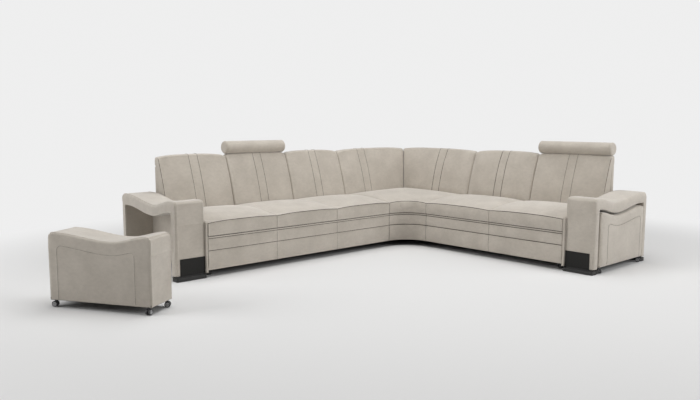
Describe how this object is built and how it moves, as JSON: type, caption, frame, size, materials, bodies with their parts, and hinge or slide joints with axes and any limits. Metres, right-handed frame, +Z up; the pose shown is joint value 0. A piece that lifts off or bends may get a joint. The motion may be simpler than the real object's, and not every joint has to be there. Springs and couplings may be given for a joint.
{
  "type": "corner sofa",
  "caption": "L-shaped fabric corner sofa with wave-topped arms, an open bay in each arm, matching rolling poufs and lift-up headrest bolsters.",
  "frame": {"origin": "centre of the underside of the round foot in the rear corner, on the floor", "axes": "+Z up; the long wing runs to -X and its seats face -Y; the short wing runs to -Y and its seats face -X"},
  "size_m": [4.2972, 2.8466, 1.004],
  "materials": {
    "suede": "brushed warm grey-beige microfibre suede",
    "timber": "plain sawn softwood and plywood",
    "dark_plate": "satin near-black panel",
    "dark_feet": "satin black moulded foot",
    "webbing": "elastic webbing",
    "dust_cloth": "thin black non-woven cloth",
    "steel": "zinc-plated and brushed",
    "socket_plastic": "black nylon sleeve",
    "caster_hood": "black moulded nylon",
    "caster_wheel": "dark tyre with a grey hub"
  },
  "bodies": {
    "sofa": {"arm_left_frame": "timber", "arm_left_cover": "suede", "arm_left_plate": "dark_plate", "arm_left_side_panel": "suede", "arm_right_frame": "timber", "arm_right_cover": "suede", "arm_right_plate": "dark_plate", "arm_right_side_panel": "suede", "arm_slab_feet": "dark_feet", "round_feet": "dark_feet", "seat_cushion_long_1": "suede", "seat_cushion_long_2": "suede", "seat_cushion_long_3": "suede", "seat_cushion_corner": "suede", "seat_cushion_short_1": "suede", "seat_cushion_short_2": "suede", "front_panel_long": "suede", "front_panel_corner": "suede", "front_panel_short": "suede", "back_cushion_long_1": "suede", "back_cushion_long_2": "suede", "back_cushion_long_3": "suede", "back_cushion_corner_long": "suede", "back_cushion_corner_short": "suede", "back_cushion_short_1": "suede", "back_cushion_short_2": "suede", "headrest_sockets": "socket_plastic", "frame_long": "timber", "frame_corner": "timber", "frame_short": "timber", "module_bolts": "steel", "seat_webbing": "webbing", "rear_cover_long": "suede", "rear_cover_corner": "suede", "rear_cover_short": "suede", "dust_covers": "dust_cloth"},
    "headrest_left": {"headrest_left": "suede", "headrest_left_bars": "steel"},
    "headrest_right": {"headrest_right": "suede", "headrest_right_bars": "steel"},
    "pouf_left": {"pouf_left_cover": "suede", "pouf_left_board": "timber"},
    "pouf_left_outer_front_caster": {"pouf_left_caster_outer_front": "caster_hood"},
    "pouf_left_outer_front_wheels": {"pouf_left_wheels_outer_front": "caster_wheel"},
    "pouf_left_outer_rear_caster": {"pouf_left_caster_outer_rear": "caster_hood"},
    "pouf_left_outer_rear_wheels": {"pouf_left_wheels_outer_rear": "caster_wheel"},
    "pouf_left_inner_front_caster": {"pouf_left_caster_inner_front": "caster_hood"},
    "pouf_left_inner_front_wheels": {"pouf_left_wheels_inner_front": "caster_wheel"},
    "pouf_left_inner_rear_caster": {"pouf_left_caster_inner_rear": "caster_hood"},
    "pouf_left_inner_rear_wheels": {"pouf_left_wheels_inner_rear": "caster_wheel"},
    "pouf_right": {"pouf_right_cover": "suede", "pouf_right_board": "timber"},
    "pouf_right_outer_front_caster": {"pouf_right_caster_outer_front": "caster_hood"},
    "pouf_right_outer_front_wheels": {"pouf_right_wheels_outer_front": "caster_wheel"},
    "pouf_right_outer_rear_caster": {"pouf_right_caster_outer_rear": "caster_hood"},
    "pouf_right_outer_rear_wheels": {"pouf_right_wheels_outer_rear": "caster_wheel"},
    "pouf_right_inner_front_caster": {"pouf_right_caster_inner_front": "caster_hood"},
    "pouf_right_inner_front_wheels": {"pouf_right_wheels_inner_front": "caster_wheel"},
    "pouf_right_inner_rear_caster": {"pouf_right_caster_inner_rear": "caster_hood"},
    "pouf_right_inner_rear_wheels": {"pouf_right_wheels_inner_rear": "caster_wheel"}
  },
  "joints": [
    {"name": "headrest_left_lift", "type": "slide", "parent": "sofa", "child": "headrest_left", "axis": [0, 0, 1], "range_m": [0, 0.1]},
    {"name": "headrest_right_lift", "type": "slide", "parent": "sofa", "child": "headrest_right", "axis": [0, 0, 1], "range_m": [0, 0.1]},
    {"name": "pouf_left_roll_away", "type": "slide", "parent": "sofa", "child": "pouf_left_outer_front_caster", "axis": [0.3899, 0.9208, 0], "range_m": [-0.25, 0.64]},
    {"name": "pouf_left_turn", "type": "hinge", "parent": "pouf_left_outer_front_caster", "child": "pouf_left", "pos_m": [-3.77062, -1.39828, 0.05], "axis": [0, 0, 1], "range_deg": [-31.1, 60]},
    {"name": "pouf_left_outer_front_roll", "type": "hinge", "parent": "pouf_left_outer_front_caster", "child": "pouf_left_outer_front_wheels", "pos_m": [-3.78045, -1.40516, 0.019], "axis": [0.5736, -0.8192, 0], "continuous": true},
    {"name": "pouf_left_outer_rear_swivel", "type": "hinge", "parent": "pouf_left", "child": "pouf_left_outer_rear_caster", "pos_m": [-4.11722, -0.82373, 0.05], "axis": [0, 0, 1], "continuous": true},
    {"name": "pouf_left_outer_rear_roll", "type": "hinge", "parent": "pouf_left_outer_rear_caster", "child": "pouf_left_outer_rear_wheels", "pos_m": [-4.12493, -0.81453, 0.019], "axis": [-0.766, -0.6428, 0], "continuous": true},
    {"name": "pouf_left_inner_front_swivel", "type": "hinge", "parent": "pouf_left", "child": "pouf_left_inner_front_caster", "pos_m": [-3.61478, -1.30427, 0.05], "axis": [0, 0, 1], "continuous": true},
    {"name": "pouf_left_inner_front_roll", "type": "hinge", "parent": "pouf_left_inner_front_caster", "child": "pouf_left_inner_front_wheels", "pos_m": [-3.60559, -1.31199, 0.019], "axis": [0.6428, 0.766, 0], "continuous": true},
    {"name": "pouf_left_inner_rear_swivel", "type": "hinge", "parent": "pouf_left", "child": "pouf_left_inner_rear_caster", "pos_m": [-3.96138, -0.72972, 0.05], "axis": [0, 0, 1], "continuous": true},
    {"name": "pouf_left_inner_rear_roll", "type": "hinge", "parent": "pouf_left_inner_rear_caster", "child": "pouf_left_inner_rear_wheels", "pos_m": [-3.95538, -0.71933, 0.019], "axis": [-0.866, 0.5, 0], "continuous": true},
    {"name": "pouf_right_roll_out", "type": "slide", "parent": "sofa", "child": "pouf_right", "axis": [0, -1, 0], "range_m": [0, 0.6]},
    {"name": "pouf_right_outer_front_swivel", "type": "hinge", "parent": "pouf_right", "child": "pouf_right_outer_front_caster", "pos_m": [-0.637, -2.672, 0.05], "axis": [0, 0, 1], "continuous": true},
    {"name": "pouf_right_outer_front_roll", "type": "hinge", "parent": "pouf_right_outer_front_caster", "child": "pouf_right_outer_front_wheels", "pos_m": [-0.6411, -2.68328, 0.019], "axis": [0.9397, -0.342, 0], "continuous": true},
    {"name": "pouf_right_outer_rear_swivel", "type": "hinge", "parent": "pouf_right", "child": "pouf_right_outer_rear_caster", "pos_m": [0.034, -2.672, 0.05], "axis": [0, 0, 1], "continuous": true},
    {"name": "pouf_right_outer_rear_roll", "type": "hinge", "parent": "pouf_right_outer_rear_caster", "child": "pouf_right_outer_rear_wheels", "pos_m": [0.03711, -2.68359, 0.019], "axis": [0.9659, 0.2588, 0], "continuous": true},
    {"name": "pouf_right_inner_front_swivel", "type": "hinge", "parent": "pouf_right", "child": "pouf_right_inner_front_caster", "pos_m": [-0.637, -2.49, 0.05], "axis": [0, 0, 1], "continuous": true},
    {"name": "pouf_right_inner_front_roll", "type": "hinge", "parent": "pouf_right_inner_front_caster", "child": "pouf_right_inner_front_wheels", "pos_m": [-0.64388, -2.49983, 0.019], "axis": [0.8192, -0.5736, 0], "continuous": true},
    {"name": "pouf_right_inner_rear_swivel", "type": "hinge", "parent": "pouf_right", "child": "pouf_right_inner_rear_caster", "pos_m": [0.034, -2.49, 0.05], "axis": [0, 0, 1], "continuous": true},
    {"name": "pouf_right_inner_rear_roll", "type": "hinge", "parent": "pouf_right_inner_rear_caster", "child": "pouf_right_inner_rear_wheels", "pos_m": [0.034, -2.502, 0.019], "axis": [1, 0, 0], "continuous": true}
  ]
}
